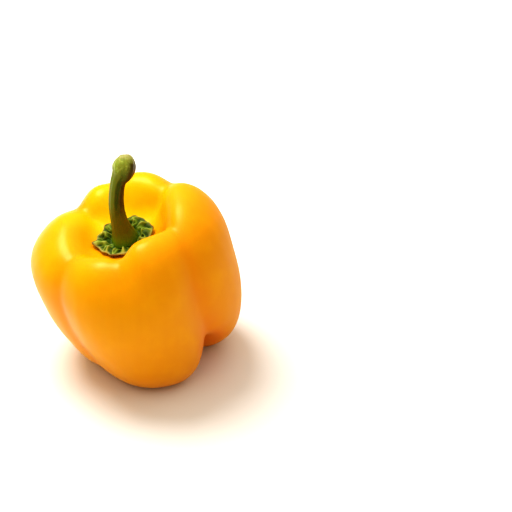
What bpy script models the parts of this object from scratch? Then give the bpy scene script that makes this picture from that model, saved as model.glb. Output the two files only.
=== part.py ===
"""Yellow bell pepper, standing on the tips of its lobes.

One solid for the fleshy fruit, one for the green calyx in the pit on top of it, and one for the
bent stem. Metres, +Z up. The origin is on the surface it stands on, under the middle of the
pepper's box. Azimuths are in degrees: 0 faces -Y, 90 faces +X.

Each piece is a sphere whose points are moved by a formula of two numbers: the azimuth, and the
station, which runs from 0 at the sphere's top to 1 at its bottom.
"""

import math
from collections import namedtuple

import bmesh
import bpy
import numpy as np

MM = 0.001

# Place of the middle of the fruit's foot, so that the origin is under the middle of the box
FOOT_CENTRE = np.array((4.4, 0.7, 0.0)) * MM

# Fruit, before the changes that its lobes and grooves make
BELLY_RADIUS = 44.5 * MM
CREST_HEIGHT = 70.0 * MM
PIT_FLOOR_HEIGHT = 58.5 * MM
PIT_RADIUS = 13.0 * MM
FOOT_RADIUS = 27.0 * MM
SCAR_HEIGHT = 8.0 * MM
FOOT_SINK = 0.5 * MM

# Grooves are pressed in towards this ring, which runs round inside the flesh
CORE_RADIUS = 25.0 * MM
CORE_LOW = 24.0 * MM
CORE_HIGH = 52.0 * MM

# The fruit bends as it rises, so its top leans this way by this much
LEAN_AZIMUTH = -75.0
LEAN_AT_CREST = 17.5

# A groove has its azimuths at the crest, the belly and the foot, then its depths there in mm.
Groove = namedtuple("Groove", "crest_at belly_at foot_at crest belly foot softness")
# A lobe lies between its groove and the next one. Belly, crest, shoulder, flank and foot are
# changes, in mm, to the belly's radius, the crest's height, the fullness above and below the belly
# and the foot's radius. The squarer a lobe is, the flatter it is in the middle and the later it
# turns to its grooves.
Lobe = namedtuple("Lobe", "name belly crest shoulder flank foot squareness")
LOBES = (
    (Groove(-138, -144, -150, 5.0, 5.0, 7.0, 0.36), Lobe("left", -2.7, 1.2, 5.0, 0, -4.3, 1.1)),
    (Groove(-58, -52, -45, 4.0, 4.5, 3.0, 0.18), Lobe("front", -0.3, 2.0, 0, 0, 4.5, 1.75)),
    (Groove(60, 39, 57, 3.2, 4.6, 14.5, 0.22), Lobe("right", -4.0, 0.9, 2.8, 2.9, 3.5, 1.5)),
    (Groove(128, 146, 152, 4.0, 3.6, 7.5, 0.5), Lobe("back", -0.6, 0.7, 2.4, 0, 0, 1.9)),
)
# A dent crosses the crest inside a lobe, and the crest is higher past it by the step. The width is
# in degrees, the depth and the step are in mm.
Dent = namedtuple("Dent", "azimuth width depth step")
DENTS = (
    Dent(-2, 12, 3.6, 4.0),
    Dent(-174, 12, 2.6, 1.0),
)
CREST_STATION = 0.27
BELLY_STATION = 0.53
FOOT_STATION = 0.78

# How much of a groove's depth at the crest, belly and foot each point of the half-section takes
CREST_SHARE = (0, 0, 0.1, 0.5, 0.9, 1.0, 0.9, 0.45, 0.1, 0, 0, 0, 0, 0, 0, 0)
BELLY_SHARE = (0, 0, 0, 0, 0, 0, 0.1, 0.55, 0.9, 1.0, 0.6, 0.1, 0, 0, 0, 0)
FOOT_SHARE = (0, 0, 0, 0, 0, 0, 0, 0, 0, 0, 0.4, 0.9, 1.0, 0.8, 0.3, 0)

# Calyx: a crumpled cap that follows the pit's floor and lifts at its edge
CALYX_RADIUS = 12.8 * MM
CALYX_SHIFT = -1.0 * MM
CALYX_LIFT = 0.9 * MM
CALYX_RUFFLE = 3.2 * MM
CALYX_THICKNESS = 1.2 * MM
CALYX_FOLDS = 13
GAP = 0.35 * MM

# Stem: where its foot stands on the calyx, then its line's shifts and heights and its radii, in mm
STEM_FOOT = (-0.8 * MM, -1.6 * MM)
StemRing = namedtuple("StemRing", "x y z radius")
STEM_RINGS = (
    StemRing(0.0, 0.0, 0.0, 5.8),
    StemRing(-0.5, -0.15, 2.2, 5.2),
    StemRing(-1.4, -0.2, 5.8, 4.05),
    StemRing(-2.3, -0.1, 10.0, 3.4),
    StemRing(-2.9, 0.1, 15.0, 3.15),
    StemRing(-2.9, 0.3, 20.0, 3.05),
    StemRing(-2.4, 0.6, 24.5, 3.05),
    StemRing(-1.5, 0.9, 28.2, 3.3),
    StemRing(0.1, 1.4, 31.2, 4.35),
    StemRing(0.9, 2.2, 33.6, 4.75),
    StemRing(1.3, 3.2, 35.4, 4.3),
    StemRing(1.5, 4.1, 36.9, 3.4),
    StemRing(1.5, 4.9, 37.9, 2.2),
)
STEM_CUT_STATION = 0.16
STEM_FOOT_STATION = 0.86
STEM_DISH = 0.8 * MM
STEM_RIDGES = 5
STEM_RIDGE_HEIGHT = 0.05

# Mesh fineness, as segments round and rows down
FRUIT_MESH = (84, 44)
CALYX_MESH = (84, 24)
STEM_MESH = (25, 36)

SKIN_COLOUR = (0.95, 0.45, 0.01, 1.0)
CALYX_COLOUR = (0.10, 0.22, 0.03, 1.0)
STEM_COLOUR = (0.22, 0.32, 0.05, 1.0)


def direction(azimuth):
    """Unit horizontal vectors for azimuths in degrees."""
    angle = np.radians(azimuth)
    return np.stack((np.sin(angle), -np.cos(angle), np.zeros_like(angle)), axis=-1)


def turn_between(start, end):
    """The shorter turn from one azimuth to another, in degrees."""
    return (end - start + 180.0) % 360.0 - 180.0


def smooth(t):
    """0 up to t = 0, 1 from t = 1, and an even curve between."""
    t = np.clip(t, 0.0, 1.0)
    return t * t * (3.0 - 2.0 * t)


def on_curve(weights, ends, station):
    """Sums four neighbouring points of each row of ends at each station, by their weights at t."""
    place = np.clip(station, 0.0, 1.0) * (ends.shape[1] - 3)
    first = np.minimum(place.astype(int), ends.shape[1] - 4)
    rows = np.arange(len(station))
    return sum(weight * ends[rows, first + n] for n, weight in enumerate(weights(place - first)))


def rounded_curve(points, station, mirror):
    """A cubic B-spline at each station, one row of points for each. It rounds off its corners.

    Past each end it reads the point beside the end again, times mirror.
    """

    def weights(t):
        return (
            (1 - t) ** 3 / 6,
            (3 * t**3 - 6 * t**2 + 4) / 6,
            (-3 * t**3 + 3 * t**2 + 3 * t + 1) / 6,
            t**3 / 6,
        )

    ends = np.concatenate((mirror * points[:, 1:2], points, mirror * points[:, -2:-1]), axis=1)
    return on_curve(weights, ends, station)


def passing_curve(points, station):
    """A Catmull-Rom curve at each station. It passes through its points."""

    def weights(t):
        return (
            (-(t**3) + 2 * t**2 - t) / 2,
            (3 * t**3 - 5 * t**2 + 2) / 2,
            (-3 * t**3 + 4 * t**2 + t) / 2,
            (t**3 - t**2) / 2,
        )

    before = 2 * points[:1] - points[1:2]
    after = 2 * points[-1:] - points[-2:-1]
    ends = np.concatenate((before, points, after))
    return on_curve(weights, np.tile(ends, (len(station), 1)), station)


def half_section(belly, crest, shoulder, flank, foot):
    """Points of a lobe's half-section from the pit's middle, over the crest, to the blossom scar.

    They are radii and heights, one row for each set of changes.
    """
    belly = BELLY_RADIUS + belly
    top = CREST_HEIGHT + crest
    foot = FOOT_RADIUS + foot
    same = np.ones_like(belly)
    pit = PIT_FLOOR_HEIGHT * same
    radii = (
        0.0 * same,
        0.5 * PIT_RADIUS * same,
        PIT_RADIUS * same,
        (PIT_RADIUS + 4.0 * MM) * same,
        0.45 * belly,
        0.59 * belly,
        0.78 * belly + 0.5 * shoulder,
        0.96 * belly + shoulder,
        1.035 * belly,
        0.99 * belly + flank,
        0.44 * belly + 0.5 * foot + 5.0 * MM + flank,
        foot + 5.0 * MM,
        foot - 6.0 * MM,
        0.45 * foot,
        0.2 * foot,
        0.0 * same,
    )
    heights = (
        pit,
        pit,
        pit + 0.3 * MM,
        0.6 * pit + 0.4 * top,
        top - 3.5 * MM,
        top + 1.5 * MM,
        top - 1.5 * MM,
        top - 14.0 * MM + 0.5 * shoulder,
        0.60 * top,
        0.40 * top,
        0.20 * top,
        4.0 * MM * same,
        -2.4 * MM * same,
        1.0 * MM * same,
        (SCAR_HEIGHT - 1.0 * MM) * same,
        SCAR_HEIGHT * same,
    )
    return np.stack(radii, axis=1), np.stack(heights, axis=1)


def groove_azimuth(groove, station):
    """Where a groove is at each station: it turns from the crest to the belly, then to the foot."""
    to_belly = smooth((station - CREST_STATION) / (BELLY_STATION - CREST_STATION))
    to_foot = smooth((station - BELLY_STATION) / (FOOT_STATION - BELLY_STATION))
    azimuth = groove.crest_at + turn_between(groove.crest_at, groove.belly_at) * to_belly
    return azimuth + turn_between(groove.belly_at, groove.foot_at) * to_foot


def place_in_lobe(azimuth, station):
    """The lobe each point is in, the next lobe, and how far across: -1 to 1 from groove to groove."""
    grooves = np.stack([groove_azimuth(groove, station) for groove, _ in LOBES], axis=1)
    past = (azimuth[:, None] - grooves) % 360.0
    lobe = np.argmin(past, axis=1)
    following = (lobe + 1) % len(LOBES)
    rows = np.arange(len(azimuth))
    width = (grooves[rows, following] - grooves[rows, lobe]) % 360.0
    return lobe, following, 2.0 * past[rows, lobe] / width - 1.0


def fruit_section(azimuth, station):
    """Radii and heights of the fruit's skin before it leans."""
    lobe, following, across = place_in_lobe(azimuth, station)
    neighbour = np.where(across < 0, (lobe - 1) % len(LOBES), following)

    def of_lobe(field):
        values = np.array([getattr(each, field) for _, each in LOBES], float)
        return values[lobe] + (values[neighbour] - values[lobe]) * smooth(np.abs(across)) / 2

    def of_groove(field):
        values = np.array([getattr(each, field) for each, _ in LOBES], float)
        return values[lobe] + (values[following] - values[lobe]) * smooth((across + 1) / 2)

    def shared(share, amount):
        return rounded_curve(np.outer(amount, share), station, 1.0)

    fields = ("belly", "crest", "shoulder", "flank", "foot")
    changes = (of_lobe(field) * MM for field in fields)
    radii, heights = half_section(*changes)
    radius = rounded_curve(radii, station, -1.0)
    height = rounded_curve(heights, station, 1.0)

    soft = of_groove("softness")
    bulge = np.cos(np.pi / 2 * np.abs(across) ** of_lobe("squareness"))
    bulge = (np.hypot(bulge, soft) - soft) / (np.hypot(1.0, soft) - soft)
    depth = shared(CREST_SHARE, of_groove("crest"))
    depth = depth + shared(BELLY_SHARE, of_groove("belly"))
    depth = depth + shared(FOOT_SHARE, of_groove("foot"))
    depth = depth * (1.0 - bulge)
    at_crest = shared(CREST_SHARE, np.ones_like(azimuth))
    for dent in DENTS:
        past = turn_between(dent.azimuth, azimuth)
        hollow = np.exp(-((past / dent.width) ** 2))
        step = np.tanh(past / dent.width) * np.exp(-((past / 50.0) ** 2)) * bulge
        depth = depth + at_crest * (dent.depth * hollow - dent.step / 2 * step)

    out_radius = radius - CORE_RADIUS
    out_height = height - np.clip(height, CORE_LOW, CORE_HIGH)
    inwards = depth * MM / (np.hypot(out_radius, out_height) + 1e-9)
    return radius - out_radius * inwards, height - out_height * inwards


def lean(points):
    """Leans points over as they rise, and puts them in their place. The foot stays level."""
    curve = math.radians(LEAN_AT_CREST) / CREST_HEIGHT
    towards = direction(np.array(LEAN_AZIMUTH))
    along = points @ towards
    angle = curve * points[:, 2]
    shift = (1 - np.cos(angle)) / curve + along * (np.cos(angle) - 1)
    leaning = points + towards * shift[:, None] + FOOT_CENTRE
    leaning[:, 2] = np.sin(angle) / curve - along * np.sin(angle) - FOOT_SINK
    return leaning


def fruit_surface(azimuth, station):
    """Points of the fruit's skin, with flat spots where its feet press on the surface."""
    radius, height = fruit_section(azimuth, station)
    points = direction(azimuth) * radius[:, None]
    points[:, 2] = height
    points = lean(points)
    points[:, 2] = np.maximum(points[:, 2], 0.0)
    return points


def flesh_height(points):
    """Height of the pit's skin under each point, before it leans."""
    stations = np.linspace(0.0, 0.3, 41)
    azimuth = np.degrees(np.arctan2(points[:, 0], -points[:, 1]))
    radii, heights = fruit_section(
        np.repeat(azimuth, len(stations)), np.tile(stations, len(points))
    )
    radii = radii.reshape(len(points), -1)
    heights = heights.reshape(len(points), -1)
    radius = np.hypot(points[:, 0], points[:, 1])
    return np.array([np.interp(*row) for row in zip(radius, radii, heights)])


def calyx_surface(azimuth, station):
    """Points of the calyx: its crumpled top from the middle out, then its underside back in."""
    around = np.radians(azimuth)
    turn = np.pi * station
    out = np.abs(np.sin(turn)) ** 0.8
    side = np.sign(np.cos(turn)) * np.sqrt(np.abs(np.cos(turn)))

    tips = np.maximum(np.cos(3 * around + 1.3), np.cos(3 * around + 4.4)) ** 10
    edge = 0.03 * np.cos(CALYX_FOLDS * around) + 0.02 * np.cos(5 * around + 1.0)
    edge = edge + 0.1 * tips - 0.05
    radius = CALYX_RADIUS * (1.0 + edge * smooth(out)) * out
    points = direction(azimuth) * radius[:, None]
    points[:, 0] += CALYX_SHIFT * smooth(out / 0.6)

    past_stem = np.hypot(points[:, 0] - STEM_FOOT[0], points[:, 1] - STEM_FOOT[1]) / MM
    ruffled = smooth((past_stem - STEM_RINGS[0].radius - 0.6) / 1.6)
    ruffled = ruffled * (1.0 - 0.6 * smooth((out - 0.75) / 0.25))
    folds = (
        0.7 * np.cos(CALYX_FOLDS * around + 1.6 * np.sin(2 * around))
        + 0.5 * np.cos(9 * around + 8.0 * out)
        + 0.4 * np.cos(18.0 * out + 2.5 * np.cos(4 * around))
    )
    top = CALYX_THICKNESS + CALYX_RUFFLE * ruffled * (0.5 + 0.31 * folds)
    rim = 0.35 * CALYX_THICKNESS
    height = np.where(side > 0, rim + (top - rim) * side, rim * (1 + side))
    lift = GAP + CALYX_LIFT * smooth((out - 0.5) / 0.5)
    points[:, 2] = flesh_height(points) + lift + height
    return lean(points)


def stem_surface(azimuth, station):
    """Points of the stem: the dished cut at its top, its ridged side, then its underside."""
    foot = (*STEM_FOOT, PIT_FLOOR_HEIGHT + CALYX_THICKNESS + 2 * GAP)
    foot = lean(np.array((foot,)))[0]
    up = (STEM_FOOT_STATION - station) / (STEM_FOOT_STATION - STEM_CUT_STATION)
    up = np.clip(up, 0.0, 1.0)
    rings = np.array(STEM_RINGS) * MM

    def line_at(place):
        return np.stack([passing_curve(rings[:, n], place) for n in range(3)], axis=1)

    ahead = line_at(np.minimum(up + 0.01, 1.0)) - line_at(np.maximum(up - 0.01, 0.0))
    ahead /= np.linalg.norm(ahead, axis=1, keepdims=True)
    side = direction(azimuth)
    side = side - ahead * np.sum(side * ahead, axis=1, keepdims=True)
    side /= np.linalg.norm(side, axis=1, keepdims=True)

    above = station / STEM_CUT_STATION
    below = (1.0 - station) / (1.0 - STEM_FOOT_STATION)
    face = smooth(np.minimum(above, below)) ** 0.6
    ridges = 1.0 - STEM_RIDGE_HEIGHT * np.cos(STEM_RIDGES * np.radians(azimuth))
    radius = passing_curve(rings[:, 3], up) * ridges * face
    dish = np.where(station < STEM_CUT_STATION, (1.0 - face) * STEM_DISH, 0.0)
    return foot + line_at(up) + side * radius[:, None] - ahead * dish[:, None]


def sphere_piece(name, mesh_size, surface, look, collection):
    """Adds a closed piece: a sphere with its points moved to surface(azimuth, station)."""
    shape = bmesh.new()
    segments, rows = mesh_size
    bmesh.ops.create_uvsphere(shape, u_segments=segments, v_segments=rows, radius=1.0)
    places = np.array([vertex.co for vertex in shape.verts])
    azimuth = np.degrees(np.arctan2(places[:, 0], -places[:, 1]))
    station = np.arccos(np.clip(places[:, 2], -1.0, 1.0)) / np.pi
    for vertex, point in zip(shape.verts, surface(azimuth, station)):
        vertex.co = point
    bmesh.ops.recalc_face_normals(shape, faces=shape.faces)
    mesh = bpy.data.meshes.new(name)
    shape.to_mesh(mesh)
    shape.free()
    mesh.shade_smooth()
    mesh.materials.append(look)
    collection.objects.link(bpy.data.objects.new(name, mesh))


def material(name, colour, roughness):
    look = bpy.data.materials.new(name)
    look.use_nodes = True
    shader = look.node_tree.nodes["Principled BSDF"]
    shader.inputs["Base Color"].default_value = colour
    shader.inputs["Roughness"].default_value = roughness
    return look


def main():
    for old in list(bpy.data.objects):
        bpy.data.objects.remove(old)
    pepper = bpy.data.collections.new("bell_pepper")
    bpy.context.scene.collection.children.link(pepper)
    skin = material("fruit_skin", SKIN_COLOUR, 0.25)
    cap = material("calyx", CALYX_COLOUR, 0.6)
    stalk = material("stem", STEM_COLOUR, 0.5)
    sphere_piece("fruit", FRUIT_MESH, fruit_surface, skin, pepper)
    sphere_piece("calyx", CALYX_MESH, calyx_surface, cap, pepper)
    sphere_piece("stem", STEM_MESH, stem_surface, stalk, pepper)


main()
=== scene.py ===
# %% [markdown]
# # A yellow bell pepper
#
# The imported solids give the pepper's true place and size. This script dresses them: each solid is
# stood for by a finer piece that is made the same way, from a sphere whose points are moved by a
# formula, with the creases, folds and ridges that a solid for physics can do without. The camera
# comes first. Each finish comes just before the piece that wears it, and the floor and the lights
# come last.

import math
from collections import namedtuple

import bmesh
import bpy
import numpy as np
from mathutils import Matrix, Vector, noise


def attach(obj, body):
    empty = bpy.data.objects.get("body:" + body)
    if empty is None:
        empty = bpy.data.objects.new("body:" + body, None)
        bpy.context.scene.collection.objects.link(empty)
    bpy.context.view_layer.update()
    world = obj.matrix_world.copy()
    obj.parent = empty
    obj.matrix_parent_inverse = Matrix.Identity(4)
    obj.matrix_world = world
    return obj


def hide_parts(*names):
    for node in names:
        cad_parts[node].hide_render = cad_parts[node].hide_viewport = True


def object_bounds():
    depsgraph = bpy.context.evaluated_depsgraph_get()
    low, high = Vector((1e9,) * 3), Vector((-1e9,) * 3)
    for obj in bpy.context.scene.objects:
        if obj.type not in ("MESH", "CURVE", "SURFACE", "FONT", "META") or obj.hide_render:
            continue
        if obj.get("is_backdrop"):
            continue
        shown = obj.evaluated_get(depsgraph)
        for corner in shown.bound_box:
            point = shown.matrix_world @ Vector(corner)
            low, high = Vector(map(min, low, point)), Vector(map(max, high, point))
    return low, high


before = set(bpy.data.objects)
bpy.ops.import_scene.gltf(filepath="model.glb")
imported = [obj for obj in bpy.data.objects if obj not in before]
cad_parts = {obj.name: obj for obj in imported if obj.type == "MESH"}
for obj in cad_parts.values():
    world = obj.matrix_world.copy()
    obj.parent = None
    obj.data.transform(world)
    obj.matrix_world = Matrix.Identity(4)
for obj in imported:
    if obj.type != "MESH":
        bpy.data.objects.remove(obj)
solid_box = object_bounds()
print("solids:", ", ".join(sorted(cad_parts)))

# %% [markdown]
# ## The camera
#
# The photograph looks down on the pepper from about 34 degrees. The pepper's sides hardly converge,
# so the camera is far away and its lens is long. The pepper stands left of the middle of the
# picture, so the camera looks past it: it is turned, not shifted.

# %% Place the camera
MM = 0.001
LOOKING_DOWN = math.radians(34.0)
CAMERA_DISTANCE = 750 * MM
PICTURE_WIDTH = 220.16 * MM
PEPPER_MIDDLE = Vector((0.0, 0.0, 38 * MM))
CAMERA_AIM = Vector((0.0516, 0.0019, 0.0442))
NEAREST_SEEN = 10 * MM

towards_camera = Vector((0.0, -math.cos(LOOKING_DOWN), math.sin(LOOKING_DOWN)))
camera_place = PEPPER_MIDDLE + CAMERA_DISTANCE * towards_camera
camera = bpy.data.objects.new("camera", bpy.data.cameras.new("camera"))
camera.data.lens = camera.data.sensor_width * CAMERA_DISTANCE / PICTURE_WIDTH
camera.data.clip_start = NEAREST_SEEN
camera.location = camera_place
camera.rotation_euler = (CAMERA_AIM - camera_place).to_track_quat("-Z", "Y").to_euler()
bpy.context.scene.collection.objects.link(camera)
bpy.context.scene.camera = camera
print("camera at", [round(v, 3) for v in camera_place], "with a lens of", round(camera.data.lens))

# %% [markdown]
# ## Curves that shape the flesh
#
# A pepper has no straight line on it. Its sections are smooth curves through a few points, so two
# kinds of curve do most of the work: a B-spline, which rounds off its corners, and a Catmull-Rom
# curve, which passes through its points. Azimuths are in degrees, 0 towards the camera and 90 to
# the right. A station runs from 0 at the top of a piece to 1 at its bottom.

# %% Directions and even steps
def direction(azimuth):
    """Unit horizontal vectors for azimuths in degrees."""
    angle = np.radians(azimuth)
    return np.stack((np.sin(angle), -np.cos(angle), np.zeros_like(angle)), axis=-1)


def turn_between(start, end):
    """The shorter turn from one azimuth to another, in degrees."""
    return (end - start + 180.0) % 360.0 - 180.0


def smooth(t):
    """0 up to t = 0, 1 from t = 1, and an even curve between."""
    t = np.clip(t, 0.0, 1.0)
    return t * t * (3.0 - 2.0 * t)


def ramp(value, start, end):
    """0 at start and before it, 1 at end and past it, and an even curve between."""
    return smooth((value - start) / (end - start))


print("azimuth 0 points along", direction(np.array(0.0)))

# %% Rounded and passing curves
def on_curve(weights, ends, station):
    """Sums four neighbouring points of each row of ends at each station, by their weights."""
    place = np.clip(station, 0.0, 1.0) * (ends.shape[1] - 3)
    first = np.minimum(place.astype(int), ends.shape[1] - 4)
    rows = np.arange(len(station))
    return sum(weight * ends[rows, first + n] for n, weight in enumerate(weights(place - first)))


def rounded_curve(points, station, mirror):
    """A cubic B-spline at each station. Past its ends the points are mirrored, times mirror."""

    def weights(t):
        return (
            (1 - t) ** 3 / 6,
            (3 * t**3 - 6 * t**2 + 4) / 6,
            (-3 * t**3 + 3 * t**2 + 3 * t + 1) / 6,
            t**3 / 6,
        )

    ends = np.concatenate((mirror * points[:, 1:2], points, mirror * points[:, -2:-1]), axis=1)
    return on_curve(weights, ends, station)


def passing_curve(points, station):
    """A Catmull-Rom curve at each station."""

    def weights(t):
        return (
            (-(t**3) + 2 * t**2 - t) / 2,
            (3 * t**3 - 5 * t**2 + 2) / 2,
            (-3 * t**3 + 4 * t**2 + t) / 2,
            (t**3 - t**2) / 2,
        )

    before = 2 * points[:1] - points[1:2]
    after = 2 * points[-1:] - points[-2:-1]
    ends = np.concatenate((before, points, after))
    return on_curve(weights, np.tile(ends, (len(station), 1)), station)


corner = np.array((0.0, 0.0, 1.0, 0.0, 0.0))
halfway = np.array((0.5,))
print("a corner 1 high is rounded to", rounded_curve(corner[None], halfway, 1.0)[0].round(2))
print("and a passing curve reaches", passing_curve(corner, halfway)[0].round(2))

# %% [markdown]
# ## The lobes
#
# The flesh has four lobes with a groove between each two. Every lobe has a half-section that runs
# from the pit on top, over the crest, down the belly and under to the blossom scar. These are the
# same numbers that the solid was made with, so the finer skin lies where the solid is. The numbers
# in the half-section are its points: shares of the belly's and the foot's radius and of the crest's
# height, with small steps in millimetres.

# %% Sizes of the fruit
FOOT_CENTRE = np.array((4.4, 0.7, 0.0)) * MM
BELLY_RADIUS = 44.5 * MM
CREST_HEIGHT = 70.0 * MM
PIT_FLOOR_HEIGHT = 58.5 * MM
PIT_RADIUS = 13.0 * MM
FOOT_RADIUS = 27.0 * MM
SCAR_HEIGHT = 8.0 * MM
FOOT_SINK = 0.5 * MM
CORE_RADIUS = 25.0 * MM
CORE_LOW = 24.0 * MM
CORE_HIGH = 52.0 * MM
LEAN_AZIMUTH = -75.0
LEAN_AT_CREST = 17.5

Groove = namedtuple("Groove", "crest_at belly_at foot_at crest belly foot softness")
Lobe = namedtuple("Lobe", "name belly crest shoulder flank foot squareness")
LOBES = (
    (Groove(-138, -144, -150, 5.0, 5.0, 7.0, 0.36), Lobe("left", -2.7, 1.2, 5.0, 0, -4.3, 1.1)),
    (Groove(-58, -52, -45, 4.0, 4.5, 3.0, 0.18), Lobe("front", -0.3, 2.0, 0, 0, 4.5, 1.75)),
    (Groove(60, 39, 57, 3.2, 4.6, 14.5, 0.22), Lobe("right", -4.0, 0.9, 2.8, 2.9, 3.5, 1.5)),
    (Groove(128, 146, 152, 4.0, 3.6, 7.5, 0.5), Lobe("back", -0.6, 0.7, 2.4, 0, 0, 1.9)),
)
OUTLINE_CHANGES = ("belly", "crest", "shoulder", "flank", "foot")
Dent = namedtuple("Dent", "azimuth width depth step")
DENTS = (
    Dent(-2, 12, 3.6, 4.0),
    Dent(-174, 12, 2.6, 1.0),
)
DENT_STEP_REACH = 50.0
CREST_STATION = 0.27
BELLY_STATION = 0.53
FOOT_STATION = 0.78
CREST_SHARE = (0, 0, 0.1, 0.5, 0.9, 1.0, 0.9, 0.45, 0.1, 0, 0, 0, 0, 0, 0, 0)
BELLY_SHARE = (0, 0, 0, 0, 0, 0, 0.1, 0.55, 0.9, 1.0, 0.6, 0.1, 0, 0, 0, 0)
FOOT_SHARE = (0, 0, 0, 0, 0, 0, 0, 0, 0, 0, 0.4, 0.9, 1.0, 0.8, 0.3, 0)
print("lobes:", ", ".join(lobe.name for _, lobe in LOBES))


# %% The half-section of a lobe
def half_section(belly, crest, shoulder, flank, foot):
    """Radii and heights of a lobe's half-section, one row for each set of changes."""
    belly = BELLY_RADIUS + belly
    top = CREST_HEIGHT + crest
    foot = FOOT_RADIUS + foot
    same = np.ones_like(belly)
    pit = PIT_FLOOR_HEIGHT * same
    radii = (
        0.0 * same,
        0.5 * PIT_RADIUS * same,
        PIT_RADIUS * same,
        (PIT_RADIUS + 4.0 * MM) * same,
        0.45 * belly,
        0.59 * belly,
        0.78 * belly + 0.5 * shoulder,
        0.96 * belly + shoulder,
        1.035 * belly,
        0.99 * belly + flank,
        0.44 * belly + 0.5 * foot + 5.0 * MM + flank,
        foot + 5.0 * MM,
        foot - 6.0 * MM,
        0.45 * foot,
        0.2 * foot,
        0.0 * same,
    )
    heights = (
        pit,
        pit,
        pit + 0.3 * MM,
        0.6 * pit + 0.4 * top,
        top - 3.5 * MM,
        top + 1.5 * MM,
        top - 1.5 * MM,
        top - 14.0 * MM + 0.5 * shoulder,
        0.60 * top,
        0.40 * top,
        0.20 * top,
        4.0 * MM * same,
        -2.4 * MM * same,
        1.0 * MM * same,
        (SCAR_HEIGHT - 1.0 * MM) * same,
        SCAR_HEIGHT * same,
    )
    return np.stack(radii, axis=1), np.stack(heights, axis=1)


plain_radii, _ = half_section(*(np.zeros(1) for _ in OUTLINE_CHANGES))
print("a plain half-section has", plain_radii.shape[1], "points")

# %% [markdown]
# ## Grooves and dents
#
# A groove wanders as it goes down, so its azimuth changes with the station. Depth is pressed in
# towards a ring that runs round inside the flesh: that way a groove bites into the top, the side
# and the foot of the pepper alike. Across a lobe the surface swells in an even bulge, squarer on
# the broad lobes, and a dent crosses the crest of two of them.

# %% Where the grooves run
def groove_azimuth(groove, station):
    """Where a groove is at each station: it turns from the crest to the belly, then the foot."""
    to_belly = ramp(station, CREST_STATION, BELLY_STATION)
    to_foot = ramp(station, BELLY_STATION, FOOT_STATION)
    azimuth = groove.crest_at + turn_between(groove.crest_at, groove.belly_at) * to_belly
    return azimuth + turn_between(groove.belly_at, groove.foot_at) * to_foot


def place_in_lobe(azimuth, station):
    """Each point's lobe, the next lobe, and how far across it is: -1 to 1."""
    grooves = np.stack([groove_azimuth(groove, station) for groove, _ in LOBES], axis=1)
    past = (azimuth[:, None] - grooves) % 360.0
    lobe = np.argmin(past, axis=1)
    following = (lobe + 1) % len(LOBES)
    rows = np.arange(len(azimuth))
    width = (grooves[rows, following] - grooves[rows, lobe]) % 360.0
    return lobe, following, 2.0 * past[rows, lobe] / width - 1.0


at_belly = [round(float(groove_azimuth(groove, BELLY_STATION))) for groove, _ in LOBES]
print("grooves at the belly, in degrees:", at_belly)

# %% The section of the flesh
NOT_ZERO = 1e-9


def fruit_section(azimuth, station):
    """Radii and heights of the skin before it leans, and how deep each point is pressed in."""
    lobe, following, across = place_in_lobe(azimuth, station)
    neighbour = np.where(across < 0, (lobe - 1) % len(LOBES), following)

    def of_lobe(field):
        values = np.array([getattr(each, field) for _, each in LOBES], float)
        return values[lobe] + (values[neighbour] - values[lobe]) * smooth(np.abs(across)) / 2

    def of_groove(field):
        values = np.array([getattr(each, field) for each, _ in LOBES], float)
        return values[lobe] + (values[following] - values[lobe]) * smooth((across + 1) / 2)

    def shared(share, amount):
        return rounded_curve(np.outer(amount, share), station, 1.0)

    changes = (of_lobe(field) * MM for field in OUTLINE_CHANGES)
    radii, heights = half_section(*changes)
    radius = rounded_curve(radii, station, -1.0)
    height = rounded_curve(heights, station, 1.0)

    soft = of_groove("softness")
    bulge = np.cos(np.pi / 2 * np.abs(across) ** of_lobe("squareness"))
    bulge = (np.hypot(bulge, soft) - soft) / (np.hypot(1.0, soft) - soft)
    depth = shared(CREST_SHARE, of_groove("crest"))
    depth = depth + shared(BELLY_SHARE, of_groove("belly"))
    depth = depth + shared(FOOT_SHARE, of_groove("foot"))
    depth = depth * (1.0 - bulge)
    at_crest = shared(CREST_SHARE, np.ones_like(azimuth))
    for dent in DENTS:
        past = turn_between(dent.azimuth, azimuth)
        hollow = np.exp(-((past / dent.width) ** 2))
        near = np.exp(-((past / DENT_STEP_REACH) ** 2))
        step = np.tanh(past / dent.width) * near * bulge
        depth = depth + at_crest * (dent.depth * hollow - dent.step / 2 * step)

    out_radius = radius - CORE_RADIUS
    out_height = height - np.clip(height, CORE_LOW, CORE_HIGH)
    inwards = depth * MM / (np.hypot(out_radius, out_height) + NOT_ZERO)
    return radius - out_radius * inwards, height - out_height * inwards, depth


every_degree = np.arange(-180.0, 180.0)
_, _, belly_depth = fruit_section(every_degree, np.full_like(every_degree, BELLY_STATION))
print("the deepest groove at the belly is", round(belly_depth.max(), 1), "mm deep")


# %% The lean of the whole fruit
def lean(points):
    """Leans points over as they rise, and puts them in their place. The foot stays level."""
    curve = math.radians(LEAN_AT_CREST) / CREST_HEIGHT
    towards = direction(np.array(LEAN_AZIMUTH))
    along = points @ towards
    angle = curve * points[:, 2]
    shift = (1 - np.cos(angle)) / curve + along * (np.cos(angle) - 1)
    leaning = points + towards * shift[:, None] + FOOT_CENTRE
    leaning[:, 2] = np.sin(angle) / curve - along * np.sin(angle) - FOOT_SINK
    return leaning


leant = lean(np.array(((0.0, 0.0, CREST_HEIGHT),)))[0]
print("between the crests it leans", round((FOOT_CENTRE[0] - leant[0]) / MM, 1), "mm to the left")

# %% [markdown]
# ## From a sphere to a piece
#
# A UV sphere is closed, evenly meshed and easy to read: each vertex has an azimuth and a station,
# and a formula says where it goes. The formula also gives marks, such as how deep in a groove a
# point is. They are kept as attributes of the mesh, and the finishes read them.

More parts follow.
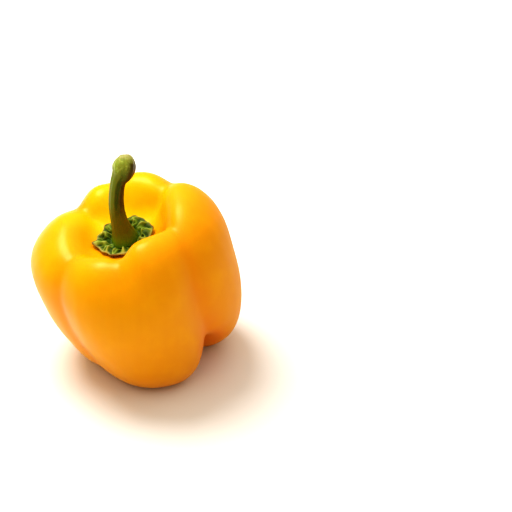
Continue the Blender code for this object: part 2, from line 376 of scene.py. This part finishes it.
# %% Make a piece from a sphere
def sphere_piece(name, segments, rows, surface, look, node):
    """Adds a closed piece whose points and marks come from surface(azimuth, station)."""
    shape = bmesh.new()
    bmesh.ops.create_uvsphere(shape, u_segments=segments, v_segments=rows, radius=1.0)
    places = np.array([vertex.co for vertex in shape.verts])
    azimuth = np.degrees(np.arctan2(places[:, 0], -places[:, 1]))
    station = np.arccos(np.clip(places[:, 2], -1.0, 1.0)) / np.pi
    points, marks = surface(azimuth, station)
    for vertex, point in zip(shape.verts, points):
        vertex.co = point
    bmesh.ops.recalc_face_normals(shape, faces=shape.faces)
    mesh = bpy.data.meshes.new(name)
    shape.to_mesh(mesh)
    shape.free()
    for mark_name, values in marks.items():
        mesh.attributes.new(mark_name, "FLOAT", "POINT").data.foreach_set("value", values)
    mesh.shade_smooth()
    mesh.materials.append(look)
    piece = bpy.data.objects.new(name, mesh)
    bpy.context.scene.collection.objects.link(piece)
    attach(piece, "root")
    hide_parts(node)
    print(name, "has", len(mesh.polygons), "faces and the marks", ", ".join(marks))


# %% [markdown]
# ## Shader sums as Python
#
# Node trees are easier to read as sums. This class wraps a node's output, so that 1 - mask adds the
# Math node for it. Any other node comes from its node method: its type, then its settings, then
# the values or links of its sockets.

# %% A wire between shader nodes
class Wire:
    """An output socket in a material's node tree."""

    def __init__(self, tree, socket=None):
        self.tree = tree
        self.socket = socket

    def node(self, kind, settings, inputs, output=0):
        made = self.tree.nodes.new("ShaderNode" + kind)
        for name, value in settings.items():
            setattr(made, name, value)
        for name, value in inputs.items():
            if isinstance(value, Wire):
                self.tree.links.new(value.socket, made.inputs[name])
            else:
                made.inputs[name].default_value = value
        return Wire(self.tree, made.outputs[output])

    def maths(self, operation, first, second):
        return self.node("Math", {"operation": operation}, {0: first, 1: second})

    def __add__(self, other):
        return self.maths("ADD", self, other)

    def __sub__(self, other):
        return self.maths("SUBTRACT", self, other)

    def __rsub__(self, other):
        return self.maths("SUBTRACT", other, self)

    def __mul__(self, other):
        return self.maths("MULTIPLY", self, other)

    __radd__ = __add__
    __rmul__ = __mul__


# %% Marks, speckles and masks
def mark(wire, name):
    """A mesh attribute as a number."""
    return wire.node("Attribute", {"attribute_name": name}, {}, "Fac")


def speckle(wire, size, detail=2.0, roughness=0.5, stretch=(1.0, 1.0, 1.0)):
    """Soft noise from 0 to 1, with bumps of about this size in metres."""
    place = wire.node("TexCoord", {}, {}, "Object")
    scale = tuple(1.0 / (size * each) for each in stretch)
    place = wire.node("Mapping", {}, {"Vector": place, "Scale": scale})
    inputs = {"Vector": place, "Scale": 1.0, "Detail": detail, "Roughness": roughness}
    return wire.node("TexNoise", {}, inputs, "Fac")


def between(wire, value, low, high):
    """0 where value is low or less, 1 where it is high or more, and an even curve between."""
    inputs = {"Value": value, "From Min": low, "From Max": high}
    return wire.node("MapRange", {"interpolation_type": "SMOOTHSTEP"}, inputs)


# %% Colours in layers, and a material to put them on
def tint(wire, amount, first, second):
    """A colour that is first where amount is 0 and second where it is 1."""
    first, second = (each if isinstance(each, Wire) else (*each, 1.0) for each in (first, second))
    return wire.node("Mix", {"data_type": "RGBA"}, {0: amount, 6: first, 7: second}, 2)


def layered(wire, colour, layers):
    """A colour under layers, from the bottom one up: each has a mask, a strength and a colour."""
    for mask, strength, over in layers:
        colour = tint(wire, mask * strength, colour, over)
    return colour


def bump(wire, height, distance):
    """A normal that height, from 0 to 1, raises by this distance in metres."""
    return wire.node("Bump", {}, {"Height": height, "Distance": distance}, "Normal")


def finish(name, colour, roughness, normal, fixed):
    """Puts a colour, a roughness and a normal on a material's shader, and its fixed values."""
    tree = colour.tree
    shader = tree.nodes["Principled BSDF"]
    for wire, socket in ((colour, "Base Color"), (roughness, "Roughness"), (normal, "Normal")):
        tree.links.new(wire.socket, shader.inputs[socket])
    for socket, value in fixed.items():
        shader.inputs[socket].default_value = value
    print("finish", name, "has", len(tree.nodes), "nodes")


def new_look(name):
    """A new material and a wire to start its nodes from."""
    look = bpy.data.materials.new(name)
    look.use_nodes = True
    return look, Wire(look.node_tree)


# %% [markdown]
# ## The skin's finish
#
# Ripe yellow skin is waxy and deeply coloured. Light goes a little way into the flesh, so edges
# glow. The colour is a golden yellow. Painted light makes it paler and brighter on the rear crests,
# the rear wall of the pit and the left side. Painted shade makes it deeper on the right and towards
# the foot, and orange in the grooves, as light that bounces inside them would. The right side is
# also a little duller. Faint streaks run down the lobes, and a fine mottle lies over all of it.
# Subsurface and refraction are the same all over, so they stay plain numbers.

# %% Colours of the skin
GOLD = (0.90, 0.385, 0.0)
# Painted light: a brighter gold for the rear crests and a brighter yellow for the rear wall of the
# pit.
LIT_REAR_GOLD = (0.93, 0.54, 0.0)
LIT_PIT_YELLOW = (0.94, 0.62, 0.0)
# Painted light on the left side and painted shade on the right.
LIT_LEFT_YELLOW = (0.89, 0.42, 0.0)
SHADED_RIGHT_YELLOW = (0.82, 0.33, 0.0)
DEEP_YELLOW = (0.75, 0.272, 0.0)
# Painted shade for the grooves, orange as bounced light would make them.
GROOVE_SHADE_ORANGE = (0.80, 0.19, 0.0)
PALE_YELLOW = (0.95, 0.48, 0.001)
SCAR_BROWN = (0.16, 0.075, 0.02)
print("the deepest yellow is", DEEP_YELLOW, "and the palest", PALE_YELLOW)

# %% Masks of the skin
MOTTLE_SIZE = 9 * MM
FINE_MOTTLE_SIZE = 1.2 * MM
STREAK_WIDTH = 3.2 * MM
STREAK_STRETCH = (1.0, 1.0, 9.0)

skin_look, skin = new_look("pepper_skin")
mottle = speckle(skin, MOTTLE_SIZE, 3.0, 0.55)
fine_mottle = speckle(skin, FINE_MOTTLE_SIZE, 2.0, 0.6)
streaks = speckle(skin, STREAK_WIDTH, 2.0, 0.5, STREAK_STRETCH)
rear = mark(skin, "rear")
# 0 on the left and 1 on the right: painted light on the left side, painted shade on the right.
right_shade = mark(skin, "right_shade") + 0.1 * mottle
# The station, moved about by the mottle, so that no colour starts on an even line.
down = mark(skin, "station") + 0.06 * mottle
in_pit = 1 - between(skin, down, 0.20, 0.32)
on_side = between(skin, down, 0.30, 0.50)
# Painted shade: the yellow deepens towards the foot, more on the right.
painted_low_shade = between(skin, down, 0.50, 0.85) * between(skin, right_shade, -0.2, 0.6)
# Painted shade in the grooves, orange as light bouncing inside them would make them, but not in the
# pit.
painted_groove_shade = between(skin, mark(skin, "pressed"), 1.5, 6.5) * between(skin, down, 0.28, 0.42)
near_scar = between(skin, mark(skin, "station"), 0.968, 0.985)
print("the skin's masks take", len(skin.tree.nodes), "nodes")

# %% Put the skin's finish together
PORE_SIZE = 0.55 * MM
PORE_DEPTH = 0.02 * MM

# Painted light makes the rear crests a brighter gold.
colour = tint(skin, rear + 0.1 * mottle, GOLD, LIT_REAR_GOLD)
skin_layers = (
    # Painted light on the rear wall of the pit.
    (between(skin, rear, 0.6, 1.0) * in_pit, 1.0, LIT_PIT_YELLOW),
    # Painted light makes the left side paler, and painted shade makes the right side deeper.
    (on_side, 1.0, tint(skin, right_shade, LIT_LEFT_YELLOW, SHADED_RIGHT_YELLOW)),
    # Painted shade towards the foot.
    (painted_low_shade, 1.0, DEEP_YELLOW),
    (between(skin, mottle, 0.4, 0.8), 0.25, PALE_YELLOW),
    (between(skin, streaks, 0.4, 0.9), 0.12, DEEP_YELLOW),
    # Painted shade in the grooves.
    (painted_groove_shade, 0.6, GROOVE_SHADE_ORANGE),
    (between(skin, fine_mottle, 0.62, 0.8), 0.12, PALE_YELLOW),
    (near_scar, 0.9, SCAR_BROWN),
)
colour = layered(skin, colour, skin_layers)
dull = on_side * between(skin, right_shade, 0.55, 1.0)
roughness = 0.24 + 0.10 * mottle + 0.06 * fine_mottle + 0.3 * near_scar + 0.2 * dull
pores = speckle(skin, PORE_SIZE, 2.0, 0.6)
normal = bump(skin, pores + 0.5 * fine_mottle, PORE_DEPTH)
skin_values = {
    "Subsurface Weight": 0.12,
    "Subsurface Radius": (1.0, 0.3, 0.02),
    "Subsurface Scale": 2.5 * MM,
    "IOR": 1.36,
    "Specular IOR Level": 0.5,
    "Specular Tint": (1.0, 0.93, 0.5, 1.0),
}
finish("pepper_skin", colour, roughness, normal, skin_values)

# %% [markdown]
# ## The skin
#
# The finer skin follows the solid, and adds what a step closer shows: slow waves that make the
# reflections wander, faint ribs down the lobes, faint puckers where the flesh runs under the calyx,
# and wrinkles round the blossom scar underneath. The waves are noise in space, and the rest are
# cosines round the fruit, each faded out where it ends.

# %% Grain for the surfaces
SKIN_WAVE_SIZE = 11 * MM


def grain(points, size, seed=0.0):
    """Smooth random values from -1 to 1 at points, with bumps of about this size."""
    shift = Vector((seed, 3.1 * seed, -1.7 * seed))
    return np.array([noise.noise(Vector(point) / size + shift) for point in points])


high_and_low = grain(((0.0, 0.0, CREST_HEIGHT), (0.0, 0.0, SCAR_HEIGHT)), SKIN_WAVE_SIZE)
print("grain at the height of the crests and of the scar:", high_and_low.round(2))

# %% Make the skin
SKIN_SEGMENTS = 300
SKIN_ROWS = 150
FLESH_MIDDLE = (0.0, 0.0, 35 * MM)
SKIN_WAVE = 0.12 * MM
SKIN_RIBS = 37
SKIN_RIB = 0.03 * MM
PUCKERS = 23
PUCKER = 0.03 * MM
PUCKER_STATION = 0.13
PUCKER_SPREAD = 0.045
SCAR_WRINKLES = 9
SCAR_WRINKLE = 0.35 * MM


def skin_surface(azimuth, station):
    """Points of the skin, with flat spots where its feet press on the surface."""
    radius, height, depth = fruit_section(azimuth, station)
    points = direction(azimuth) * radius[:, None]
    points[:, 2] = height
    around = np.radians(azimuth)
    # Away from the foot's centre. Its length is near 1, and more towards the top.
    away = points / np.linalg.norm(points - FLESH_MIDDLE, axis=1, keepdims=True)

    on_side = ramp(station, 0.36, 0.51) * ramp(station, 0.80, 0.65)
    wave = SKIN_WAVE * grain(points, SKIN_WAVE_SIZE) * ramp(station, 0.85, 0.75)
    rib = SKIN_RIB * np.cos(SKIN_RIBS * around + 2.0 * np.sin(3 * around)) * on_side
    in_pit = np.exp(-(((station - PUCKER_STATION) / PUCKER_SPREAD) ** 2))
    pucker = PUCKER * np.cos(PUCKERS * around + 3.0 * np.cos(2 * around)) * in_pit
    at_scar = ramp(station, 0.93, 0.98) * ramp(station, 1.0, 0.98)
    wrinkle = SCAR_WRINKLE * np.cos(SCAR_WRINKLES * around) * at_scar
    points += away * (wave + rib)[:, None]
    points[:, 2] += pucker + wrinkle
    points = lean(points)
    points[:, 2] = np.maximum(points[:, 2], 0.0)
    # How far back each point is. The finish uses it to paint light on the rear.
    rear = smooth(0.1 - 0.9 * np.cos(around))
    # 0 on the left and 1 on the right, for painted light on the left side and painted shade on the
    # right.
    right_shade = 0.5 + 0.5 * np.sin(around)
    return points, {"pressed": depth, "station": station, "rear": rear, "right_shade": right_shade}


sphere_piece(
    "pepper_skin", SKIN_SEGMENTS, SKIN_ROWS, skin_surface, skin_look, "fruit"
)

# %% [markdown]
# ## The calyx's finish
#
# The calyx is the crumpled green cap that the flower left. Raised creases are painted pale green
# as light, the hollows between them are painted dark as shade, and the dried edge is pale and brown
# at the tips. The mesh carries a mark for each, so the colour follows the folds exactly.

# %% Make the calyx's finish
# Painted shade in the hollows and painted light on the raised creases.
HOLLOW_SHADE_GREEN = (0.032, 0.075, 0.004)
LEAF_GREEN = (0.16, 0.235, 0.014)
CREST_LIGHT_GREEN = (0.39, 0.46, 0.09)
RIM_PALE = (0.40, 0.36, 0.10)
DRY_BROWN = (0.14, 0.075, 0.010)
LEAF_BLOTCH_SIZE = 2.5 * MM
LEAF_FIBRE_SIZE = 0.35 * MM
LEAF_GRAIN = 0.06 * MM

calyx_look, calyx = new_look("pepper_calyx")
raised = mark(calyx, "raised")
blotch = speckle(calyx, LEAF_BLOTCH_SIZE, 3.0, 0.6)
fibre = speckle(calyx, LEAF_FIBRE_SIZE, 2.0, 0.6)
at_edge = between(calyx, mark(calyx, "edge") + 0.06 * blotch, 0.94, 1.02)
# Painted shade in the hollows and painted light on the raised creases.
colour = tint(calyx, between(calyx, raised, 0.15, 0.55), HOLLOW_SHADE_GREEN, LEAF_GREEN)
calyx_layers = (
    (between(calyx, raised + 0.2 * blotch, 0.6, 1.0), 1.0, CREST_LIGHT_GREEN),
    (between(calyx, blotch, 0.5, 0.8), 0.3, LEAF_GREEN),
    (at_edge * mark(calyx, "dry"), 1.0, RIM_PALE),
    (mark(calyx, "tip"), 1.0, DRY_BROWN),
)
colour = layered(calyx, colour, calyx_layers)
roughness = 0.45 + 0.2 * blotch
normal = bump(calyx, fibre + blotch, LEAF_GRAIN)
calyx_values = {
    "Subsurface Weight": 0.05,
    "Specular IOR Level": 0.25,
    "Specular Tint": (1.0, 1.0, 0.6, 1.0),
}
finish("pepper_calyx", colour, roughness, normal, calyx_values)

# %% [markdown]
# ## The calyx
#
# It starts as a sphere pressed flat: the upper half is the crumpled top, the lower half the
# underside that follows the flesh. The solid's folds stay, and finer creases are raised over them.
# They are ridged noise, which is sharp where smooth noise passes through nought. Its places are
# wound round the calyx and packed more loosely outwards, so the creases run out from the stem.

# %% Sizes of the calyx and the stem
CALYX_RADIUS = 12.8 * MM
CALYX_SHIFT = -1.0 * MM
CALYX_LIFT = 0.9 * MM
CALYX_RUFFLE = 3.2 * MM
CALYX_THICKNESS = 1.2 * MM
CALYX_FOLDS = 13
GAP = 0.35 * MM
STEM_FOOT = (-0.8 * MM, -1.6 * MM)
StemRing = namedtuple("StemRing", "x y z radius")
STEM_RINGS = (
    StemRing(0.0, 0.0, 0.0, 5.8),
    StemRing(-0.5, -0.15, 2.2, 5.2),
    StemRing(-1.4, -0.2, 5.8, 4.05),
    StemRing(-2.3, -0.1, 10.0, 3.4),
    StemRing(-2.9, 0.1, 15.0, 3.15),
    StemRing(-2.9, 0.3, 20.0, 3.05),
    StemRing(-2.4, 0.6, 24.5, 3.05),
    StemRing(-1.5, 0.9, 28.2, 3.3),
    StemRing(0.1, 1.4, 31.2, 4.35),
    StemRing(0.9, 2.2, 33.6, 4.75),
    StemRing(1.3, 3.2, 35.4, 4.3),
    StemRing(1.5, 4.1, 36.9, 3.4),
    StemRing(1.5, 4.9, 37.9, 2.2),
)
print("the stem rises", STEM_RINGS[-1].z, "mm above its foot")

# %% The flesh under the calyx
PIT_STATIONS = np.linspace(0.0, 0.3, 41)
TABLE_REACH = 20.0 * MM
TABLE_STEP = 0.25 * MM


def flesh_height(points):
    """Height of the pit's skin under each point, before it leans, read from a table by degree."""
    degrees = np.arange(-180.0, 181.0)
    radii, heights, _ = fruit_section(
        np.repeat(degrees, len(PIT_STATIONS)), np.tile(PIT_STATIONS, len(degrees))
    )
    steps = np.arange(0.0, TABLE_REACH, TABLE_STEP)
    rows = zip(radii.reshape(len(degrees), -1), heights.reshape(len(degrees), -1))
    table = np.array([np.interp(steps, *row) for row in rows])

    across = np.degrees(np.arctan2(points[:, 0], -points[:, 1])) + 180.0
    out = np.hypot(points[:, 0], points[:, 1]) / TABLE_STEP
    row = np.minimum(across.astype(int), len(degrees) - 2)
    column = out.astype(int)
    ahead, aside = across - row, out - column
    near = table[row, column] * (1 - aside) + table[row, column + 1] * aside
    far = table[row + 1, column] * (1 - aside) + table[row + 1, column + 1] * aside
    return near * (1 - ahead) + far * ahead


under_edge = flesh_height(direction(np.array((0.0, 90.0))) * CALYX_RADIUS)
print("flesh under the calyx's front and right edge, in mm:", (under_edge / MM).round(1))

# %% The creases of the calyx
CREASES_ROUND = 4.2
CREASES_OUT = 3.0
CREASE_WANDER = 0.7
CREASE_SHARPNESS = 3.2
CREASE_HEIGHT = 1.3 * MM


def creases(around, out):
    """1 on the sharp creases, 0 between them, by direction and distance from the middle."""
    wound = (CREASES_ROUND * np.cos(around), CREASES_ROUND * np.sin(around), CREASES_OUT * out)
    places = np.stack(wound, axis=1)
    wander = np.stack([grain(places, 1.6, seed) for seed in (1.0, 2.0, 3.0)], axis=1)
    places = places + CREASE_WANDER * wander
    ridged = np.maximum(1.0 - CREASE_SHARPNESS * np.abs(grain(places, 1.0, 5.0)), 0.0)
    broken = 0.65 + 0.5 * grain(places, 0.8, 8.0)
    return np.clip(ridged * broken * 1.3, 0.0, 1.0)


ring_out = 0.7
on_creases = creases(np.radians(every_degree), np.full_like(every_degree, ring_out)) > 0.5
print("creases cover", round(100 * on_creases.mean()), "% of a ring", ring_out, "of the way out")

# %% Make the calyx
CALYX_SEGMENTS = 300
CALYX_ROWS = 110
EDGE_SCALLOP = 0.018
EDGE_WANDER = 0.02
EDGE_INSET = 0.05
TIP_LENGTH = 0.1
TIP_SHARPNESS = 10
DRY_AZIMUTH = -15.0


def calyx_surface(azimuth, station):
    """Points of the calyx: its crumpled top from the middle out, then its underside back in."""
    around = np.radians(azimuth)
    turn = np.pi * station
    out = np.abs(np.sin(turn)) ** 0.8
    side = np.sign(np.cos(turn)) * np.sqrt(np.abs(np.cos(turn)))

    tips = np.maximum(np.cos(3 * around + 1.3), np.cos(3 * around + 4.4)) ** TIP_SHARPNESS
    edge = EDGE_SCALLOP * np.cos(CALYX_FOLDS * around) + EDGE_WANDER * np.cos(5 * around + 1.0)
    edge = edge + TIP_LENGTH * tips - EDGE_INSET
    radius = CALYX_RADIUS * (1.0 + edge * smooth(out)) * out
    points = direction(azimuth) * radius[:, None]
    points[:, 0] += CALYX_SHIFT * ramp(out, 0.0, 0.6)

    from_stem = np.hypot(points[:, 0] - STEM_FOOT[0], points[:, 1] - STEM_FOOT[1]) / MM
    past_stem = from_stem - STEM_RINGS[0].radius
    ruffled = ramp(past_stem, 0.6, 2.2) * (1.0 - 0.8 * ramp(out, 0.75, 1.0))
    folds = (
        0.7 * np.cos(CALYX_FOLDS * around + 1.6 * np.sin(2 * around))
        + 0.5 * np.cos(9 * around + 8.0 * out)
        + 0.4 * np.cos(18.0 * out + 2.5 * np.cos(4 * around))
    )
    raised = creases(around, out)
    top = CALYX_THICKNESS + CALYX_RUFFLE * ruffled * (0.5 + 0.31 * folds)
    top = np.maximum(top + ruffled * CREASE_HEIGHT * (raised - 0.45), 0.7 * CALYX_THICKNESS)
    rim = 0.35 * CALYX_THICKNESS
    height = np.where(side > 0, rim + (top - rim) * side, rim * (1 + side))
    lift = GAP + CALYX_LIFT * ramp(out, 0.5, 1.0)
    points[:, 2] = flesh_height(points) + lift + height
    # How raised each point is. The finish paints the creases pale as light and the hollows dark as
    # shade.
    look = np.clip(0.15 + 0.7 * raised + 0.15 * folds, 0.0, 1.0)
    tip = tips * ramp(out, 0.9, 1.0)
    dry = 0.25 + 0.6 * smooth(0.5 + 0.5 * np.cos(around - math.radians(DRY_AZIMUTH)))
    return lean(points), {"raised": look, "edge": out, "tip": tip, "dry": dry}


sphere_piece(
    "pepper_calyx", CALYX_SEGMENTS, CALYX_ROWS, calyx_surface, calyx_look, "calyx"
)

# %% [markdown]
# ## The stem's finish
#
# The stalk is green, painted greener where the light reaches it, olive-brown low down, and painted
# dark brown as shade on its shaded side. Its ridges are lighter than the furrows between them. The
# swollen end is paler, with light patches painted in as glints, and a crown that is cream-coloured
# partly as pale tissue and partly as a painted highlight. The cut face shows dry pith inside a dark
# rim.

# %% Colours of the stem
FURROW_GREEN = (0.048, 0.095, 0.004)
RIDGE_GREEN = (0.17, 0.23, 0.022)
OLIVE_BROWN = (0.145, 0.155, 0.003)
FOOT_GREEN = (0.160, 0.300, 0.008)
# Painted shade on the shaded side, and the dark rim of the swollen end and of the cut.
SHADE_AND_RIM_BROWN = (0.055, 0.027, 0.001)
KNOB_GREEN = (0.27, 0.33, 0.045)
# Painted highlight: glints on the swollen end.
KNOB_GLINT_GREEN = (0.42, 0.52, 0.10)
# Pale tissue near the cut, partly a painted highlight.
KNOB_CREAM_AND_HIGHLIGHT = (0.37, 0.355, 0.14)
PITH = (0.42, 0.44, 0.17)
print("the stem goes from", FURROW_GREEN, "in its furrows to", KNOB_GLINT_GREEN, "on its end")

# %% Masks of the stem
STEM_BLOTCH_SIZE = 2.2 * MM
STEM_FIBRE_WIDTH = 0.5 * MM
STEM_FIBRE_STRETCH = (1.0, 1.0, 8.0)
KNOB_PATCH_SIZE = 1.6 * MM

stem_look, stem = new_look("pepper_stem")
along = mark(stem, "along")
cut = mark(stem, "cut")
blotch = speckle(stem, STEM_BLOTCH_SIZE, 3.0, 0.6)
fibre = speckle(stem, STEM_FIBRE_WIDTH, 2.0, 0.6, STEM_FIBRE_STRETCH)
# Painted light: the side that faces the light is painted greener.
light_side = between(stem, mark(stem, "shaded"), 0.0, 0.35)
green = mark(stem, "ridge") + 0.2 * fibre + 0.7 * (1 - light_side)
low = 1 - between(stem, along + 0.12 * blotch, 0.32, 0.46)
at_foot = 1 - between(stem, along + 0.06 * blotch, 0.06, 0.20)
knob = between(stem, along + 0.1 * blotch, 0.64, 0.84)
# Painted highlight: light patches on the swollen end stand in for its glints.
glint_patch = between(stem, speckle(stem, KNOB_PATCH_SIZE, 2.0, 0.5), 0.5, 0.62)
# The crown: cream, partly as pale tissue near the cut and partly as a painted highlight.
crown_pale_and_highlight = between(stem, along + 0.12 * blotch, 0.90, 1.02)
under_crown = 1 - between(stem, along + 0.1 * blotch, 0.84, 0.98)
# Painted shade: dark brown on the shaded side, less low down and none on the crown.
shaded = between(stem, mark(stem, "shaded") + 0.15 * blotch, 0.72, 0.95)
shaded = shaded * (1 - 0.75 * low) * under_crown
at_rim = between(stem, along, 0.97, 1.0) * between(stem, blotch, 0.4, 0.55)
print("the stem's masks take", len(stem.tree.nodes), "nodes")

# %% Put the stem's finish together
STEM_BUMP = 0.08 * MM

colour = tint(stem, between(stem, green, 0.25, 0.85), FURROW_GREEN, RIDGE_GREEN)
stem_layers = (
    (low, 0.9, OLIVE_BROWN),
    (at_foot, 0.85, FOOT_GREEN),
    (knob, 0.9, KNOB_GREEN),
    # Painted glints on the swollen end.
    (knob * glint_patch, 0.7, KNOB_GLINT_GREEN),
    (crown_pale_and_highlight, 0.8, KNOB_CREAM_AND_HIGHLIGHT),
    # Painted shade on the shaded side.
    (shaded, 0.9, SHADE_AND_RIM_BROWN),
    (between(stem, fibre, 0.5, 0.8), 0.25, FURROW_GREEN),
    (at_rim, 0.8, SHADE_AND_RIM_BROWN),
    (between(stem, cut, 0.1, 0.3), 1.0, SHADE_AND_RIM_BROWN),
    (between(stem, cut + 0.2 * fibre, 0.4, 0.7), 1.0, PITH),
)
colour = layered(stem, colour, stem_layers)
roughness = 0.40 + 0.2 * blotch + 0.25 * between(stem, cut, 0.1, 0.4) - 0.12 * knob
normal = bump(stem, fibre + 0.5 * blotch, STEM_BUMP)
stem_values = {
    "Subsurface Weight": 0.05,
    "Specular IOR Level": 0.25,
    "Specular Tint": (1.0, 0.95, 0.6, 1.0),
}
finish("pepper_stem", colour, roughness, normal, stem_values)

# %% [markdown]
# ## The stem
#
# A bent, tapering stalk could be a curve with a bevel, but its ridges, flared foot and dished cut
# need more than that. So it is a sphere drawn out along the stem's line: rings of a set radius,
# then the cut face at the top and the underside at the foot.

# %% Make the stem
STEM_SEGMENTS = 150
STEM_ROWS = 230
STEM_CUT_STATION = 0.16
STEM_FOOT_STATION = 0.86
STEM_END_ROUNDNESS = 0.6
STEM_DISH = 0.8 * MM
STEM_RIDGES = 5
STEM_RIDGE_HEIGHT = 0.05
STEM_SMALL_RIDGES = 17
STEM_SMALL_RIDGE_HEIGHT = 0.012
STEM_GRAIN = 0.1 * MM
STEM_GRAIN_SIZE = 1.8 * MM
SHORT_WAY = 0.01
SHADED_AZIMUTH = 75.0


def stem_surface(azimuth, station):
    """Points of the stem: the dished cut at its top, its ridged side, then its underside."""
    foot = (*STEM_FOOT, PIT_FLOOR_HEIGHT + CALYX_THICKNESS + 2 * GAP)
    foot = lean(np.array((foot,)))[0]
    up = (STEM_FOOT_STATION - station) / (STEM_FOOT_STATION - STEM_CUT_STATION)
    up = np.clip(up, 0.0, 1.0)
    rings = np.array(STEM_RINGS) * MM

    def line_at(place):
        return np.stack([passing_curve(rings[:, n], place) for n in range(3)], axis=1)

    ahead = line_at(np.minimum(up + SHORT_WAY, 1.0)) - line_at(np.maximum(up - SHORT_WAY, 0.0))
    ahead /= np.linalg.norm(ahead, axis=1, keepdims=True)
    side = direction(azimuth)
    side = side - ahead * np.sum(side * ahead, axis=1, keepdims=True)
    side /= np.linalg.norm(side, axis=1, keepdims=True)

    above = station / STEM_CUT_STATION
    below = (1.0 - station) / (1.0 - STEM_FOOT_STATION)
    face = smooth(np.minimum(above, below)) ** STEM_END_ROUNDNESS
    around = np.radians(azimuth)
    ridges = -np.cos(STEM_RIDGES * around)
    small = np.cos(STEM_SMALL_RIDGES * around + 2.0 * np.sin(3 * around) + 5.0 * up)
    radius = passing_curve(rings[:, 3], up) * face
    radius = radius * (1.0 + STEM_RIDGE_HEIGHT * ridges + STEM_SMALL_RIDGE_HEIGHT * small)
    dish = np.where(station < STEM_CUT_STATION, (1.0 - face) * STEM_DISH, 0.0)
    points = foot + line_at(up) + side * radius[:, None] - ahead * dish[:, None]
    radius_grain = STEM_GRAIN * grain(points, STEM_GRAIN_SIZE) * face
    points += side * radius_grain[:, None]
    shaded = 0.5 + 0.5 * np.cos(around - math.radians(SHADED_AZIMUTH))
    cut = np.where(station < STEM_CUT_STATION, 1.0 - face, 0.0)
    marks = {"along": up, "ridge": 0.5 + 0.5 * ridges, "shaded": shaded, "cut": cut}
    return points, marks


sphere_piece("pepper_stem", STEM_SEGMENTS, STEM_ROWS, stem_surface, stem_look, "stem")

# %% [markdown]
# ## Floor and light
#
# The pepper stands on a plain white floor under soft lights. A wide one overhead lights all of it.
# A smaller one above, behind and to the left is far brighter for its size, so it makes the crests
# shine and the shadow fall towards the camera. A dim, warm surround fills the shadow. The front is
# lit by the floor, which also takes up the warm light that the skin throws on it.

# %% Make the floor
FLOOR_WHITE = (0.86, 0.86, 0.86)
FLOOR_SHADE = (0.82, 0.82, 0.82)
FLOOR_SIZE = 6.0
FLOOR_CLOUD_SIZE = 80 * MM
FLOOR_GRAIN_SIZE = 1 * MM
FLOOR_GRAIN = 0.01 * MM

floor_look, floor_wire = new_look("studio_floor")
cloudy = speckle(floor_wire, FLOOR_CLOUD_SIZE, 2.0, 0.5)
colour = tint(floor_wire, cloudy * 0.1, FLOOR_WHITE, FLOOR_SHADE)
roughness = 0.75 + 0.1 * cloudy
normal = bump(floor_wire, speckle(floor_wire, FLOOR_GRAIN_SIZE), FLOOR_GRAIN)
finish("studio_floor", colour, roughness, normal, {})

shape = bmesh.new()
bmesh.ops.create_grid(shape, x_segments=2, y_segments=2, size=FLOOR_SIZE / 2)
floor_mesh = bpy.data.meshes.new("studio_floor")
shape.to_mesh(floor_mesh)
shape.free()
floor_mesh.materials.append(floor_look)
floor = bpy.data.objects.new("studio_floor", floor_mesh)
bpy.context.scene.collection.objects.link(floor)
floor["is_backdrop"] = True
print("floor", FLOOR_SIZE, "m wide")

# %% Set the lights
Light = namedtuple("Light", "name place size power colour")
LIGHTS = (
    Light("key", (-0.22, 0.26, 0.69), 0.46, 4.4, (1.0, 0.985, 0.96)),
    Light("overhead", (0.0, 0.1, 1.1), 2.4, 6.0, (1.0, 0.99, 0.97)),
)
LIT_PLACE = Vector((0.0, 0.0, 0.04))
SURROUND_COLOUR = (1.0, 0.865, 0.66, 1.0)
SURROUND_STRENGTH = 0.45

for light in LIGHTS:
    lamp = bpy.data.objects.new(light.name, bpy.data.lights.new(light.name, "AREA"))
    lamp.data.shape = "DISK"
    lamp.data.size = light.size
    lamp.data.energy = light.power
    lamp.data.color = light.colour
    lamp.location = light.place
    lamp.rotation_euler = (LIT_PLACE - lamp.location).to_track_quat("-Z", "Y").to_euler()
    bpy.context.scene.collection.objects.link(lamp)

world = bpy.data.worlds.new("studio")
world.use_nodes = True
surround = world.node_tree.nodes["Background"]
surround.inputs["Color"].default_value = SURROUND_COLOUR
surround.inputs["Strength"].default_value = SURROUND_STRENGTH
bpy.context.scene.world = world
bpy.context.scene.view_settings.view_transform = "Standard"
bpy.context.scene.view_settings.look = "High Contrast"
print("lights:", ", ".join(light.name for light in LIGHTS))

# %% [markdown]
# ## The size
#
# The dressed pepper has to stay the size of its solids, so both boxes are printed.

# %% Print both boxes
boxes = [[list(corner) for corner in box] for box in (solid_box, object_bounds())]
print("solids' box and this one:", [[round(v * 1000, 1) for v in c] for b in boxes for c in b])
